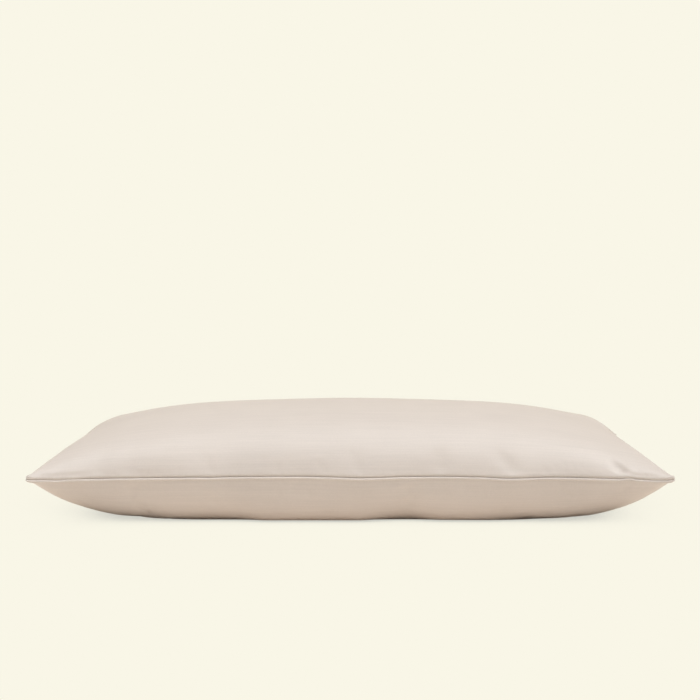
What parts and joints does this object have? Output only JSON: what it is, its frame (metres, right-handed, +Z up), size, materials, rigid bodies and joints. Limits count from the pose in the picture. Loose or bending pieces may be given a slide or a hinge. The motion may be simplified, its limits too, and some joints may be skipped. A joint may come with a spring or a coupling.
{
  "type": "body pillow cover",
  "caption": "Long filled body pillow in a plain sateen cover with drawn-in sides, pointed corners and one turned seam round its middle.",
  "frame": {"origin": "on the surface it lies on, under the middle of its bounding box", "axes": "+X along its length, -Y towards the long side seen in the picture, +Z up through its crown"},
  "size_m": [1.3624, 0.5054, 0.2543],
  "materials": {
    "sateen": "pale beige sateen with a soft sheen"
  },
  "bodies": {
    "root": {"pillow_cover": "sateen"}
  },
  "joints": []
}
